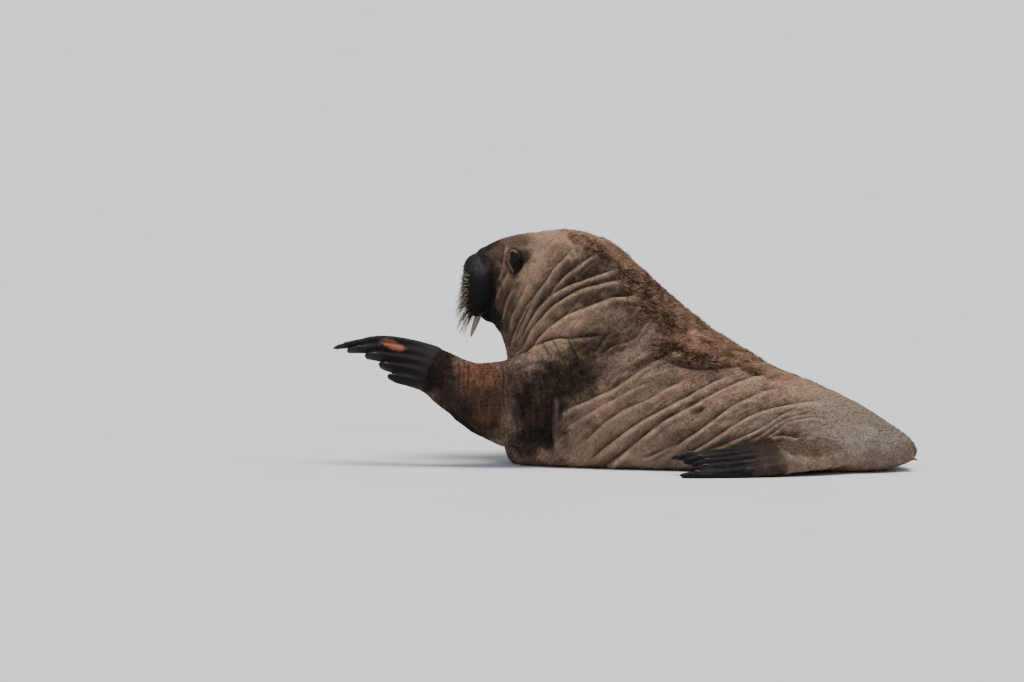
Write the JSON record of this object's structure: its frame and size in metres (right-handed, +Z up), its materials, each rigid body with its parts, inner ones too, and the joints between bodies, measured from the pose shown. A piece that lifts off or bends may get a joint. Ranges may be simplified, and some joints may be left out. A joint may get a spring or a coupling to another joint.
{
  "type": "walrus",
  "caption": "Life-size young walrus lying on its belly with its chest and bristly muzzle raised, short tusks, one foreflipper held forward and the other planted.",
  "frame": {"origin": "on the floor under the middle of the whole animal's box", "axes": "+Z up, the head faces -X and the rump lies towards +X, +Y is the animal's right side"},
  "size_m": [2.1576, 1.526, 0.8577],
  "materials": {
    "hide": "folded brown hide under a short flat coat, reddish where the hair is old",
    "dark_skin": "dark grey-black wrinkled skin",
    "ivory": "smooth stained ivory",
    "eye": "wet dark brown"
  },
  "bodies": {
    "root": {"head": "hide", "muzzle": "dark_skin", "jaw": "dark_skin", "eye_left": "eye", "eye_right": "eye", "tusk_left": "ivory", "tusk_right": "ivory", "neck": "hide", "chest": "hide", "torso": "hide", "hips": "hide", "tail": "hide", "forelimb_left": "hide", "foreflipper_left": "dark_skin", "forelimb_right": "hide", "foreflipper_right": "dark_skin", "hindlimb_left": "hide", "hindflipper_left": "dark_skin", "hindlimb_right": "hide", "hindflipper_right": "dark_skin"}
  },
  "joints": []
}
